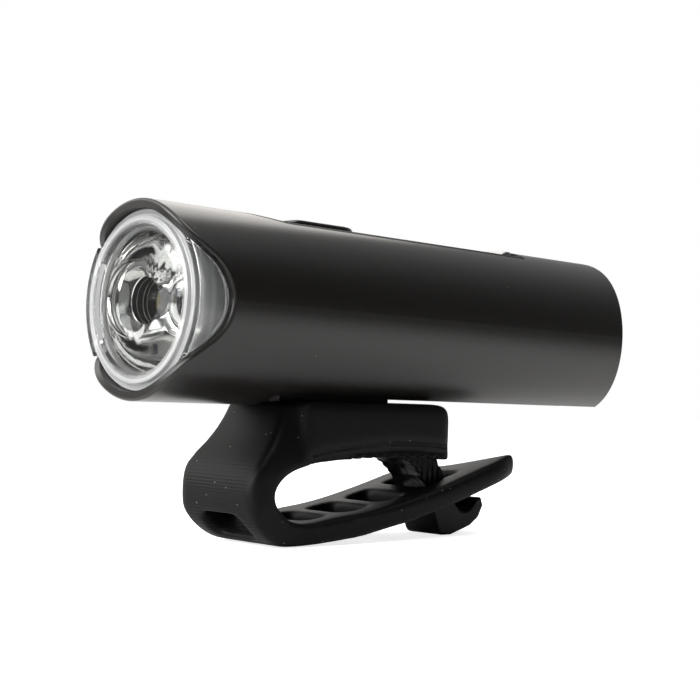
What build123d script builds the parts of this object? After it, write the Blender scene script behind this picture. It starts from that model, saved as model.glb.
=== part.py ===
from build123d import *
import os
from math import acos, sqrt, tan

os.makedirs("parts", exist_ok=True)

# Clearances, all sizes in millimetres
overrun = 2.0  # how far a cutter passes a face
lengthwise = 90  # degrees, turns a slot along the tube
seat_gap = 0.1  # between pieces that are seated in one body
body_gap = 0.2  # between pieces that move past each other

# Tube of the light, made round its cell
tube_wall = 2.0
front_wall = 1.5
front_bore_depth = 22.6
tube_edge_round = 0.5

# Scallop in each side of the front rim, in shares of the tube's radius
scallop_half_width_share = 0.675
scallop_apex_share = 0.765625
scallop_bottom_round_share = 0.55
scallop_lip_round_share = 0.4375
rear_scallop_depth = 4.55

# Flat along the crown and the slot in it
crown_flat_depth = 1.85  # below the top of the tube
crown_ramp_start = 16.2
crown_flat_start = 25.2
crown_flat_setback = 25.2  # flat's end in front of the tube's rear
crown_ramp_round = 12.0
crown_end_round = 2.0
crown_end_lean = 0.8
crown_slot_start = 23.4
crown_slot_setback = 0.6  # slot's end in front of the flat's end
crown_slot_width = 13.0
crown_slot_round = 3.0

# Flat along the underside and the slot that slides on the rail key
underside_inset = 1.7  # above the bottom of the tube
underside_start = 24.0
boss_width = 12.4
boss_height = 2.8  # inner boss over the bore's wall
rail_mouth_width = 5.2
rail_undercut_width = 8.8
rail_lip = 1.1  # wall under the undercut
rail_undercut_height = 1.2

# Clear cover at the front
lens_setback = 1.4
lens_ring_setback = 0.8
lens_window_setback = 1.6
lens_window_thickness = 1.3
lens_ring_width = 1.2
lens_ring_inset = 1.2  # inside the cover's edge
lens_ring_slope = 0.35
lens_skirt_wall = 1.8
lens_skirt_end = 11.0
lens_edge_round = 0.2
lens_edge_count = 7
window_corner_round = 0.6
lobe_inset = 0.9  # gap between the lobe and the scallop's edge
lobe_sink = 0.6  # lobe's face below the tube's surface
seal_diameter = 1.5

# Solid clear lens that gathers the light of the LED
collimator_flange_thickness = 1.2
collimator_flange_width = 1.1
collimator_belly_share = 0.63077  # from the tip's radius to the rim's
collimator_belly_place = 10.6
collimator_tip_wall = 1.1
collimator_end = 15.5
well_mouth_radius = 3.7
well_floor_radius = 3.3
well_floor = 9.5
well_bulge = 1.3

# Black ring that holds the collimator on the LED board
holder_start = 12.75
holder_thickness = 1.3
holder_inset = 0.7  # its hole inside the collimator's belly
foot_count = 3
first_foot_angle = 90
foot_width = 3.0
foot_depth = 1.5

# LED and its board
led_board_radius = 10.0
led_board_thickness = 1.5
led_board_start = 17.0
led_package_width = 5.0
led_package_thickness = 0.9
led_package_corner = 0.5
led_dome_radius = 2.4
board_screw_place = 7.5
board_screw_diameter = 1.6
board_screw_length = 5.0
board_screw_head_diameter = 3.0
board_screw_head_height = 1.1
drive_width = 1.3
drive_depth = 0.6
drive_sides = 6

# Heat sink, pads and cell
heat_sink_length = 4.0
heat_sink_groove_width = 1.0
heat_sink_groove_depth = 0.8
heat_sink_hole_radius = 2.0
pad_thickness = 2.4
pad_inset = 0.4
cell_diameter = 18.4
cell_length = 65.0
cell_drop = 1.6  # cell axis below the tube axis
cell_gap = 0.4  # between the cell and the tube's inner boss
cell_edge_round = 0.8
cell_button_diameter = 5.6
cell_button_height = 1.4
tab_width = 7.0
tab_thickness = 0.2

# Cradle round the cell
cradle_ring_thickness = 2.2
cradle_top_drop = 2.1  # below the crown flat
cradle_window_width = 11.0
cradle_post_diameter = 4.6

# Long board and what it carries
driver_board_drop = 4.5  # its top below the crown flat
driver_board_thickness = 1.0
driver_board_inset = 1.177  # its edge inside the bore
driver_board_overhang = 1.5  # behind the crown flat
driver_board_corner = 1.5
coil_diameter = 5.8
coil_height = 2.2
coil_place_share = 0.584  # from the button to the chips
coil_edge_round = 0.5
chip_height = 1.0
chip_width = 3.6
chip_length = 2.6
chip_count = 3
chip_gap = 1.4
chip_spread = 7.0
chip_place_share = 0.5507  # from the button to the socket

# Button, its ring of light and its switch
button_start = 26.0
button_end = 45.2
button_width = 8.8
button_rise = 1.65  # over the crown flat
button_sink = 0.5
button_front_rise = 0.85
button_crest = 30.4
button_edge_round = 0.7
button_travel = 0.5
button_stem_diameter = 4.0
ring_wall = 0.5
ring_rise = 0.5
switch_width = 6.0
switch_height = 1.8
plunger_diameter = 3.4
plunger_height = 0.9

# Moulded strip in the crown
strip_thickness = 0.5
strip_plug_depth = 1.6
strip_floor = 0.5  # floor under the button

# Charging socket
socket_setback = 8.0  # in front of the crown flat's end
socket_width = 9.0
socket_depth = 3.2
socket_wall = 0.3
socket_sink = 0.6  # its mouth below the crown flat
tongue_width = 6.7
tongue_thickness = 0.7
tongue_setback = 1.7  # tongue's tip below the mouth

# Cover over the charging socket
cover_setback = 1.5  # its end in front of the crown flat's end
cover_length = 12.5
cover_hinge_radius = 0.45
cover_width = 11.2
cover_corner = 2.4
cover_front_corner = 0.6
cover_plug_width = 7.4
cover_plug_depth = 1.5
cover_plug_reach = 1.4
lip_length = 6.2
lip_height = 2.1
lip_thickness = 1.6
lip_round = 0.7
lip_scoop_round = 4.0

# Cap at the rear
cap_length = 10.8
cap_setback = 6.9  # inside the tube's rear end
cap_wall = 2.0
cap_groove_place = 4.0
cap_seal_width = 1.4
cap_seal_depth = 1.0
rear_screw_inset = 4.3  # from the cap's edge
rear_screw_diameter = 2.2
rear_screw_length = 8.0
rear_screw_head_diameter = 4.2
rear_screw_head_height = 1.6
rear_drive_width = 2.6

# Rail key and the block that carries it
rail_key_length = 26.0
rail_key_inset = 0.4  # behind the block's front
key_sink = 1.0  # key's root in the block
rail_screw_diameter = 1.8
rail_screw_length = 7.0
rail_screw_head_diameter = 3.4
rail_screw_head_height = 0.8
rail_drive_width = 1.7
rail_screw_inset = 6.5
block_gap = 0.6  # between the light's underside and the block
block_front = 28.5
block_rear = 65.5
block_width = 19.2
block_thickness = 7.7
block_rear_height = 16.7  # its rear end's underside over the table
block_front_drop = 1.6  # of its underside, from the rear end's
block_middle_rise = 0.4
block_rear_round = 4.4
block_plan_round = 4.0
block_edge_round = 0.8

# Silicone strap: nose, loop and tab
strap_front = 17.5
strap_reach = 68.4
strap_thickness = 4.2
nose_thickness = 4.9
neck_thickness = 2.2
strap_width = 20.4
neck_width = 16.0
strap_foot_width = 17.6
strap_bend_start = 30.1
neck_direction = (-1, -2)
foot_direction = (-1, -2)
pad_entry_direction = (4, 1)
neck_overlap = 1.0
neck_setback = 0.55  # neck's top below the block's
nose_shares = [(0.094, 0.8), (0.061, 0.676), (0.016, 0.525), (0.0, 0.352), (0.025, 0.164), (0.088, 0.029)]
loop_shares = [(0.165, 0.164), (0.101, 0.238), (0.076, 0.357), (0.094, 0.447), (0.136, 0.516)]
run_shares = [0.1, 0.3, 0.5, 0.7, 0.9, 1.065]
run_rise = 11.1
run_power = 1.7
run_rise_length = 50.0
tab_droop = 0.62  # of the run at its rise length
tab_droop_power = 8
pad_front_thickness = 1.3
pad_middle_thickness = 2.3
pad_rear_thickness = 2.5
pad_front = 31.4
width_shares = [(0.3, 0.77), (0.58, 0.68), (0.82, 0.6), (1.0, 0.5), (0.97, 0.26), (0.68, 0.1)]
nose_plan_round = 2.0
tab_plan_round = 4.0
slot_width = 10.0
slot_round = 1.6
slot_one_start = 32.8
slot_one_end = 38.4
slot_two_start = 41.9
slot_two_end = 48.5
hook_slot_inset = 1.4  # behind the hook's front
hook_slot_share = 0.55862  # of the hook's length, to the slot's end
nose_slot_length = 5.6
tooth_count = 10
tooth_radius = 0.55
tooth_first_share = 0.26
tooth_last_share = 0.94

# Hook that the strap's rear slot goes over
hook_width = 8.8
heel_width = 14.4
heel_front = 49.6
heel_lean = 3.0  # its lower edge behind its upper edge
heel_depth = 4.3
heel_step = 5.0  # from its lower edge back to the strap
heel_rib_width = 0.7
heel_rib_depth = 0.4
heel_rib_pitch = 1.5
heel_rib_count = 8
hook_front = 50.2
hook_length = 29.7
hook_root_depth = 1.5  # in the block
hook_shares = [
    (0.03, 1.0),
    (0.0, 0.77),
    (0.162, 0.55),
    (0.41, 0.121),
    (0.313, 0.0),
    (0.53, 0.0),
    (0.687, 0.077),
    (0.926, 0.121),
    (1.0, 0.291),
    (0.976, 0.379),
    (0.925, 0.36),
    (0.8, 0.235),
    (0.6, 0.27),
    (0.53, 0.4),
    (0.522, 1.0),
]
hook_round_shares = [0, 0.04, 0.1, 0.02, 0.015, 0.08, 0.06, 0.05, 0.03, 0.01, 0.02, 0.06, 0.05, 0.04, 0]

# Worked-out sizes
bore_radius = cell_drop + cell_diameter / 2 + cell_gap + boss_height
tube_radius = bore_radius + tube_wall
tube_diameter = 2 * tube_radius
led_board_end = led_board_start + led_board_thickness
heat_sink_end = led_board_end + heat_sink_length
pad_start = heat_sink_end + seat_gap
cell_start = pad_start + pad_thickness + seat_gap
cell_end = cell_start + cell_length
rear_pad_start = cell_end + seat_gap
rear_pad_end = rear_pad_start + pad_thickness
cradle_end = rear_pad_end + seat_gap + cradle_ring_thickness
cap_front = cradle_end + seat_gap
cap_face = cap_front + cap_length
tube_length = cap_face + cap_setback
scallop_half_width = tube_radius * scallop_half_width_share
scallop_apex = tube_radius * scallop_apex_share
scallop_bottom_round = tube_radius * scallop_bottom_round_share
scallop_lip_round = tube_radius * scallop_lip_round_share
crown_flat_height = tube_radius - crown_flat_depth
crown_flat_end = tube_length - crown_flat_setback
crown_slot_end = crown_flat_end - crown_slot_setback
underside_depth = tube_radius - underside_inset
boss_depth = bore_radius - boss_height
block_front_height = block_rear_height - block_front_drop
block_middle_height = block_rear_height + block_middle_rise
block_top = block_rear_height + block_thickness
pad_middle = (pad_front + block_rear) / 2
pad_front_height = block_front_height - pad_front_thickness
pad_middle_height = block_middle_height - pad_middle_thickness
pad_rear_height = block_rear_height - pad_rear_thickness
hook_root_height = block_rear_height + hook_root_depth
hook_slot_start = hook_front + hook_slot_inset
hook_slot_end = hook_front + hook_slot_share * hook_length
axis_height = block_top + block_gap + underside_depth  # tube axis over the table
rear_scallop_radius = (tube_radius**2 + rear_scallop_depth**2) / (2 * rear_scallop_depth)
rear_tip_angle = acos(tube_radius / rear_scallop_radius)
rear_tip_loss = tube_edge_round * (1 / tan(rear_tip_angle / 2) - 1)
front_y = -(tube_length - rear_tip_loss) / 2  # the middle of the rounded tube is at zero
front_bore_radius = tube_radius - front_wall
seated_radius = bore_radius - seat_gap
front_seated_radius = front_bore_radius - seat_gap
skirt_inner_radius = front_seated_radius - lens_skirt_wall
lens_ring_outer_radius = front_seated_radius - lens_ring_inset
lens_ring_inner_radius = lens_ring_outer_radius - lens_ring_width
collimator_radius = skirt_inner_radius - body_gap
collimator_rim_radius = collimator_radius - collimator_flange_width
collimator_tip_radius = well_mouth_radius + collimator_tip_wall
collimator_taper = collimator_rim_radius - collimator_tip_radius
collimator_belly_radius = collimator_tip_radius + collimator_belly_share * collimator_taper
holder_inner_radius = collimator_belly_radius - holder_inset
window_back = lens_window_setback + lens_window_thickness
collimator_front = window_back + body_gap
flange_back = collimator_front + collimator_flange_thickness
holder_end = holder_start + holder_thickness
package_front = led_board_start - led_package_thickness
cradle_start = front_bore_depth + seat_gap
cradle_top = crown_flat_height - cradle_top_drop
pad_diameter = cell_diameter - 2 * pad_inset
undercut_bottom = -underside_depth + rail_lip
undercut_top = undercut_bottom + rail_undercut_height
driver_board_top = crown_flat_height - driver_board_drop
driver_board_room = sqrt(seated_radius**2 - driver_board_top**2)
driver_board_width = 2 * (driver_board_room - driver_board_inset)
driver_board_end = crown_flat_end + driver_board_overhang
board_bottom = driver_board_top - driver_board_thickness
board_start = cradle_start + cradle_ring_thickness + seat_gap
strip_top = crown_flat_height + strip_thickness
strip_plug_bottom = crown_flat_height - strip_plug_depth
button_top = crown_flat_height + button_rise
button_front_top = crown_flat_height + button_front_rise
button_bottom = crown_flat_height - button_sink
ring_top = crown_flat_height + ring_rise
socket_top = crown_flat_height - socket_sink
socket_place = crown_flat_end - socket_setback
chip_place = button_end + chip_place_share * (socket_place - button_end)
chip_pitch = chip_length + chip_gap
chip_start = chip_place - chip_pitch - chip_length / 2
coil_place = button_end + coil_place_share * (chip_start - button_end)
cover_end = crown_flat_end - cover_setback
cover_hinge_place = cover_end - cover_length
lip_front = cover_end - lip_length
rear_screw_place = seated_radius - rear_screw_inset
button_middle = (button_start + button_end) / 2
button_length = button_end - button_start
ring_gap = body_gap / 2 + seat_gap / 2
ring_width = button_width + 2 * (ring_gap + ring_wall)
ring_length = button_length + 2 * (ring_gap + ring_wall)
well_floor_height = strip_plug_bottom + strip_floor
cover_hinge_height = strip_top - seat_gap / 2 - cover_hinge_radius
cover_bottom = cover_hinge_height - cover_hinge_radius
cover_top = cover_hinge_height + cover_hinge_radius
pocket_floor = cover_bottom - seat_gap
switch_top = driver_board_top + switch_height
plunger_top = switch_top + plunger_height
rail_key_start = block_front + rail_key_inset
rail_key_end = rail_key_start + rail_key_length
rail_slot_start = rail_key_start - body_gap

tube_axis = Axis((0, 0, axis_height), (0, 1, 0))
side = Plane(origin=(0, front_y, axis_height), x_dir=(0, 1, 0), z_dir=(1, 0, 0))
table_side = Plane(origin=(0, front_y, 0), x_dir=(0, 1, 0), z_dir=(1, 0, 0))
front_table = Plane(origin=(0, front_y, 0), x_dir=(1, 0, 0), z_dir=(0, -1, 0))


def plan_at(height):
    """Plane seen from above, at a height over the tube's axis: across, along."""
    return Plane(origin=(0, front_y, axis_height + height), x_dir=(1, 0, 0), z_dir=(0, 0, 1))


def section_at(along):
    """Plane seen from the lens end, at a place along the tube: across, up."""
    return Plane(origin=(0, front_y + along, axis_height), x_dir=(1, 0, 0), z_dir=(0, -1, 0))


def lies_on_tube(edge):
    """True for an edge that runs on the tube's outer surface."""
    for share in (0.1, 0.5, 0.9):
        point = edge.position_at(share)
        radius = sqrt(point.X**2 + (point.Z - axis_height) ** 2)
        if abs(radius - tube_radius) > seat_gap / 10:
            return False
    return True


def scallop_line(inset):
    """Outline of a scallop in the side view, moved in from the scallop's edge."""
    half = scallop_half_width - inset
    apex = scallop_apex - inset
    reach = tube_radius - inset
    return FilletPolyline(
        (-overrun, -reach),
        (0, -reach),
        (0, -half),
        (apex, 0),
        (0, half),
        (0, reach),
        (-overrun, reach),
        radius=[0, 0, scallop_lip_round, scallop_bottom_round, scallop_lip_round, 0, 0],
        close=True,
    )


def crown_outline(lift, setback):
    """Side view of what is cut off the crown, moved up and forward."""
    ramp_drop = tube_radius - crown_flat_height
    ramp_run = crown_flat_start - crown_ramp_start
    return FilletPolyline(
        (crown_ramp_start - ramp_run - setback, tube_radius + ramp_drop + lift),
        (crown_flat_start - setback, crown_flat_height + lift),
        (crown_flat_end - setback, crown_flat_height + lift),
        (crown_flat_end + 2 * crown_end_lean - setback, tube_radius + ramp_drop + lift),
        radius=[0, crown_ramp_round, crown_end_round, 0],
        close=True,
    )


def bore_section(inset):
    """Section that fills the bore round the tube's inner boss, moved in from the seated fit."""
    Circle(seated_radius - inset)
    gap = seat_gap + inset
    with Locations((0, gap - boss_depth)):
        Rectangle(boss_width + 2 * gap, bore_radius, align=(Align.CENTER, Align.MAX), mode=Mode.SUBTRACT)


# Extruded tube with its scallops, crown flat, underside flat and rail slot
with BuildPart() as body_shell:
    with BuildSketch(section_at(0)):
        Circle(tube_radius)
    extrude(amount=-tube_length)
    with BuildSketch(section_at(-overrun)):
        Circle(front_bore_radius)
    extrude(amount=-(front_bore_depth + overrun), mode=Mode.SUBTRACT)
    with BuildSketch(section_at(0)):
        Circle(bore_radius)
        with Locations((0, -boss_depth)):
            Rectangle(boss_width, bore_radius, align=(Align.CENTER, Align.MAX), mode=Mode.SUBTRACT)
    extrude(amount=-(tube_length + overrun), mode=Mode.SUBTRACT)
    with BuildSketch(plan_at(-underside_depth)):
        with Locations((0, underside_start)):
            Rectangle(tube_diameter, tube_length, align=(Align.CENTER, Align.MIN))
    extrude(amount=-tube_radius, mode=Mode.SUBTRACT)
    with BuildSketch(section_at(rail_slot_start)):
        with Locations((0, undercut_top)):
            Rectangle(
                rail_undercut_width, rail_undercut_height, align=(Align.CENTER, Align.MAX)
            )
            Rectangle(rail_mouth_width, tube_radius, align=(Align.CENTER, Align.MAX))
    extrude(amount=-tube_length, mode=Mode.SUBTRACT)
    with BuildSketch(side):
        with BuildLine():
            scallop_line(0)
        make_face()
        with Locations((tube_length - rear_scallop_depth, 0)):
            Circle(rear_scallop_radius, align=(Align.MIN, Align.CENTER))
        with BuildLine():
            crown_outline(0, 0)
        make_face()
    extrude(amount=tube_diameter, both=True, mode=Mode.SUBTRACT)
    with BuildSketch(plan_at(0)):
        with Locations((0, (crown_slot_start + crown_slot_end) / 2)):
            RectangleRounded(crown_slot_width, crown_slot_end - crown_slot_start, crown_slot_round)
    extrude(amount=tube_diameter, mode=Mode.SUBTRACT)
    scallop_edges = body_shell.edges().filter_by(lies_on_tube).filter_by_position(
        Axis.Y, front_y - overrun, front_y + scallop_apex
    )
    fillet(scallop_edges, tube_edge_round)
    rear_edges = body_shell.edges().filter_by(lies_on_tube).filter_by_position(
        Axis.Y, front_y + tube_length - rear_scallop_depth - overrun, front_y + tube_length + overrun
    )
    fillet(rear_edges, tube_edge_round)
body_shell.part.label = "body_shell"
export_step(body_shell.part, "parts/body_shell.step")


# Clear cover: window, raised ring, skirt and a lobe in each scallop
with BuildPart() as front_lens:
    with BuildSketch(side):
        with BuildLine():
            scallop_line(lobe_inset)
        make_face()
    extrude(amount=tube_diameter, both=True)
    with BuildSketch(section_at(lens_setback)):
        Circle(tube_radius - lobe_sink)
        Circle(skirt_inner_radius, mode=Mode.SUBTRACT)
    extrude(amount=-lens_skirt_end, mode=Mode.INTERSECT)
    with BuildSketch(side):
        with BuildLine():
            FilletPolyline(
                (window_back, 0),
                (lens_window_setback, 0),
                (lens_window_setback, lens_ring_inner_radius - lens_ring_slope),
                (lens_ring_setback, lens_ring_inner_radius),
                (lens_ring_setback, lens_ring_outer_radius),
                (lens_setback, lens_ring_outer_radius + lens_ring_slope),
                (lens_setback, front_seated_radius),
                (lens_skirt_end, front_seated_radius),
                (lens_skirt_end, skirt_inner_radius),
                (window_back, skirt_inner_radius),
                radius=[0, 0] + lens_edge_count * [lens_edge_round] + [window_corner_round],
                close=True,
            )
        make_face()
    revolve(axis=tube_axis)
front_lens.part.label = "front_lens"
export_step(front_lens.part, "parts/front_lens.step")

# Ring of rubber behind the cover's skirt
seal_radius = seal_diameter / 2
with BuildPart() as lens_seal:
    with BuildSketch(side):
        with Locations((lens_skirt_end + seat_gap + seal_radius, front_seated_radius - seal_radius)):
            Circle(seal_radius)
    revolve(axis=tube_axis)
lens_seal.part.label = "lens_seal"
export_step(lens_seal.part, "parts/lens_seal.step")

# Collimator: flange, curved wall and the well over the LED
bulge_radius = (well_floor_radius**2 + well_bulge**2) / (2 * well_bulge)
with BuildPart() as collimator_lens:
    with BuildSketch(side):
        with BuildLine():
            Polyline(
                (well_floor + well_bulge, 0),
                (collimator_front, 0),
                (collimator_front, collimator_radius),
                (flange_back, collimator_radius),
                (flange_back, collimator_rim_radius),
            )
            Spline(
                (flange_back, collimator_rim_radius),
                (collimator_belly_place, collimator_belly_radius),
                (collimator_end, collimator_tip_radius),
            )
            Polyline(
                (collimator_end, collimator_tip_radius),
                (collimator_end, well_mouth_radius),
                (well_floor, well_floor_radius),
            )
            RadiusArc((well_floor, well_floor_radius), (well_floor + well_bulge, 0), bulge_radius)
        make_face()
    revolve(axis=tube_axis)
collimator_lens.part.label = "collimator_lens"
export_step(collimator_lens.part, "parts/collimator_lens.step")

# Holder: a ring round the collimator with feet on the LED board
foot_radius = holder_inner_radius + seat_gap + foot_depth / 2
with BuildPart() as collimator_holder:
    with BuildSketch(section_at(holder_start)):
        Circle(front_seated_radius)
        Circle(holder_inner_radius, mode=Mode.SUBTRACT)
    extrude(amount=-holder_thickness)
    with BuildSketch(section_at(holder_end)):
        with PolarLocations(foot_radius, foot_count, start_angle=first_foot_angle):
            Rectangle(foot_depth, foot_width)
    extrude(amount=-(led_board_start - holder_end))
collimator_holder.part.label = "collimator_holder"
export_step(collimator_holder.part, "parts/collimator_holder.step")

# LED: clear dome on a square base
with BuildPart() as led_dome:
    with BuildSketch(side):
        with BuildLine():
            Polyline(
                (package_front - led_dome_radius, 0),
                (package_front, 0),
                (package_front, led_dome_radius),
            )
            RadiusArc(
                (package_front, led_dome_radius),
                (package_front - led_dome_radius, 0),
                -led_dome_radius,
            )
        make_face()
    revolve(axis=tube_axis)
led_dome.part.label = "led_dome"
export_step(led_dome.part, "parts/led_dome.step")

with BuildPart() as led_package:
    with BuildSketch(section_at(package_front)):
        Rectangle(led_package_width, led_package_width)
        chamfer(vertices(), led_package_corner)
    extrude(amount=-led_package_thickness)
led_package.part.label = "led_package"
export_step(led_package.part, "parts/led_package.step")

board_screw_spots = [(-board_screw_place, 0), (board_screw_place, 0)]
with BuildPart() as led_board:
    with BuildSketch(section_at(led_board_start)):
        Circle(led_board_radius)
        with Locations(*board_screw_spots):
            Circle(board_screw_diameter / 2 + seat_gap, mode=Mode.SUBTRACT)
    extrude(amount=-led_board_thickness)
led_board.part.label = "led_board"
export_step(led_board.part, "parts/led_board.step")

board_screw_radius = board_screw_diameter / 2
with BuildPart() as board_screws:
    with BuildSketch(section_at(led_board_start - board_screw_head_height)):
        with Locations(*board_screw_spots):
            Circle(board_screw_head_diameter / 2)
    extrude(amount=-board_screw_head_height)
    with BuildSketch(section_at(led_board_start)):
        with Locations(*board_screw_spots):
            Circle(board_screw_radius)
    extrude(amount=-board_screw_length)
    with BuildSketch(section_at(led_board_start - board_screw_head_height)):
        with Locations(*board_screw_spots):
            RegularPolygon(drive_width / 2, drive_sides)
    extrude(amount=-drive_depth, mode=Mode.SUBTRACT)
board_screws.part.label = "board_screws"
export_step(board_screws.part, "parts/board_screws.step")

# Aluminium slug behind the LED board, with a groove round it
with BuildPart() as heat_sink:
    with BuildSketch(section_at(led_board_end)):
        Circle(front_seated_radius)
        Circle(heat_sink_hole_radius, mode=Mode.SUBTRACT)
        with Locations((0, crown_flat_height - body_gap)):
            Rectangle(tube_diameter, tube_radius, align=(Align.CENTER, Align.MIN), mode=Mode.SUBTRACT)
        with Locations(*board_screw_spots):
            Circle(board_screw_radius + seat_gap, mode=Mode.SUBTRACT)
    extrude(amount=-heat_sink_length)
    groove_start = led_board_end + (heat_sink_length - heat_sink_groove_width) / 2
    with BuildSketch(section_at(groove_start)):
        Circle(front_bore_radius + overrun)
        Circle(front_seated_radius - heat_sink_groove_depth, mode=Mode.SUBTRACT)
    extrude(amount=-heat_sink_groove_width, mode=Mode.SUBTRACT)
heat_sink.part.label = "heat_sink"
export_step(heat_sink.part, "parts/heat_sink.step")

# Foam pad at each end of the cell
for pad_name, pad_place in (("front_pad", pad_start), ("rear_pad", rear_pad_start)):
    with BuildPart() as pad:
        with BuildSketch(section_at(pad_place)):
            with Locations((0, -cell_drop)):
                Circle(pad_diameter / 2)
        extrude(amount=-pad_thickness)
    pad.part.label = pad_name
    export_step(pad.part, f"parts/{pad_name}.step")

# Cell with its raised button, and the nickel tabs on its two ends
cell_can_end = cell_end - tab_thickness
with BuildPart() as battery_cell:
    with BuildSketch(section_at(cell_start + tab_thickness)):
        with Locations((0, -cell_drop)):
            Circle(cell_diameter / 2)
    extrude(amount=-(cell_length - 2 * tab_thickness - cell_button_height))
    fillet(battery_cell.edges().filter_by(GeomType.CIRCLE), cell_edge_round)
    with BuildSketch(section_at(cell_can_end - cell_button_height)):
        with Locations((0, -cell_drop)):
            Circle(cell_button_diameter / 2)
    extrude(amount=-cell_button_height)
battery_cell.part.label = "battery_cell"
export_step(battery_cell.part, "parts/battery_cell.step")

with BuildPart() as battery_tabs:
    for tab_place in (cell_start, cell_can_end):
        with BuildSketch(section_at(tab_place)):
            with Locations((0, board_bottom - seat_gap)):
                Rectangle(
                    tab_width,
                    board_bottom - seat_gap + cell_drop + cell_button_diameter / 2,
                    align=(Align.CENTER, Align.MAX),
                )
        extrude(amount=-tab_thickness)
battery_tabs.part.label = "battery_tabs"
export_step(battery_tabs.part, "parts/battery_tabs.step")

# Cradle: two cheeks beside the cell, joined by a ring at each end
cradle_cell_radius = cell_diameter / 2 + seat_gap
rear_screw_spots = [(-rear_screw_place, 0), (rear_screw_place, 0)]
with BuildPart() as battery_cradle:
    with BuildSketch(section_at(cradle_start)):
        bore_section(0)
        with Locations((0, -cell_drop)):
            Circle(cradle_cell_radius, mode=Mode.SUBTRACT)
        with Locations((0, cradle_top)):
            Rectangle(tube_diameter, bore_radius, align=(Align.CENTER, Align.MIN), mode=Mode.SUBTRACT)
    extrude(amount=-(cradle_end - cradle_start))
    with BuildSketch(section_at(cradle_start + cradle_ring_thickness)):
        with Locations((0, board_bottom)):
            Rectangle(tube_diameter, bore_radius, align=(Align.CENTER, Align.MIN))
        Rectangle(cradle_window_width, bore_radius, align=(Align.CENTER, Align.MIN))
    extrude(amount=-(cradle_end - cradle_start - 2 * cradle_ring_thickness), mode=Mode.SUBTRACT)
    with BuildSketch(section_at(cradle_end)):
        with Locations(*rear_screw_spots):
            Circle(cradle_post_diameter / 2)
    extrude(amount=-(cap_face - cap_wall - seat_gap - cradle_end))
    with BuildSketch(section_at(cap_face)):
        with Locations(*rear_screw_spots):
            Circle(rear_screw_diameter / 2 + seat_gap)
    extrude(amount=rear_screw_length + overrun, mode=Mode.SUBTRACT)
battery_cradle.part.label = "battery_cradle"
export_step(battery_cradle.part, "parts/battery_cradle.step")

# Long board over the cell, with its coil and chips
board_length = driver_board_end - board_start
with BuildPart() as driver_board:
    with BuildSketch(plan_at(board_bottom)):
        with Locations((0, (board_start + driver_board_end) / 2)):
            RectangleRounded(driver_board_width, board_length, driver_board_corner)
    extrude(amount=driver_board_thickness)
driver_board.part.label = "driver_board"
export_step(driver_board.part, "parts/driver_board.step")

with BuildPart() as driver_coil:
    with BuildSketch(plan_at(driver_board_top)):
        with Locations((0, coil_place)):
            RectangleRounded(coil_diameter, coil_diameter, coil_edge_round * 2)
    extrude(amount=coil_height)
    fillet(driver_coil.faces().sort_by(Axis.Z)[-1].edges(), coil_edge_round)
driver_coil.part.label = "driver_coil"
export_step(driver_coil.part, "parts/driver_coil.step")

with BuildPart() as driver_chips:
    with BuildSketch(plan_at(driver_board_top)):
        with Locations((0, chip_place)):
            with GridLocations(chip_spread, chip_pitch, 2, chip_count):
                Rectangle(chip_width, chip_length)
    extrude(amount=chip_height)
driver_chips.part.label = "driver_chips"
export_step(driver_chips.part, "parts/driver_chips.step")

# Switch on the board and the plunger that the button presses
plunger_seat = switch_top - button_travel - seat_gap
with BuildPart() as tactile_switch:
    with BuildSketch(plan_at(driver_board_top)):
        with Locations((0, button_middle)):
            Rectangle(switch_width, switch_width)
    extrude(amount=switch_height)
    with BuildSketch(plan_at(switch_top)):
        with Locations((0, button_middle)):
            Circle(plunger_diameter / 2 + seat_gap)
    extrude(amount=-2 * (button_travel + seat_gap), mode=Mode.SUBTRACT)
tactile_switch.part.label = "tactile_switch"
export_step(tactile_switch.part, "parts/tactile_switch.step")

with BuildPart() as switch_plunger:
    with BuildSketch(plan_at(plunger_seat)):
        with Locations((0, button_middle)):
            Circle(plunger_diameter / 2)
    extrude(amount=plunger_top - plunger_seat)
switch_plunger.part.label = "switch_plunger"
export_step(switch_plunger.part, "parts/switch_plunger.step")

# Charging socket, standing on the board, and its tongue
socket_floor = driver_board_top + socket_wall
with BuildPart() as usb_socket:
    with BuildSketch(plan_at(driver_board_top)):
        with Locations((0, socket_place)):
            SlotOverall(socket_width, socket_depth)
    extrude(amount=socket_top - driver_board_top)
    with BuildSketch(plan_at(socket_floor)):
        with Locations((0, socket_place)):
            SlotOverall(socket_width - 2 * socket_wall, socket_depth - 2 * socket_wall)
    extrude(amount=socket_top, mode=Mode.SUBTRACT)
usb_socket.part.label = "usb_socket"
export_step(usb_socket.part, "parts/usb_socket.step")

with BuildPart() as usb_tongue:
    with BuildSketch(plan_at(socket_floor)):
        with Locations((0, socket_place)):
            Rectangle(tongue_width, tongue_thickness)
    extrude(amount=socket_top - tongue_setback - socket_floor)
usb_tongue.part.label = "usb_tongue"
export_step(usb_tongue.part, "parts/usb_tongue.step")

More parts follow.
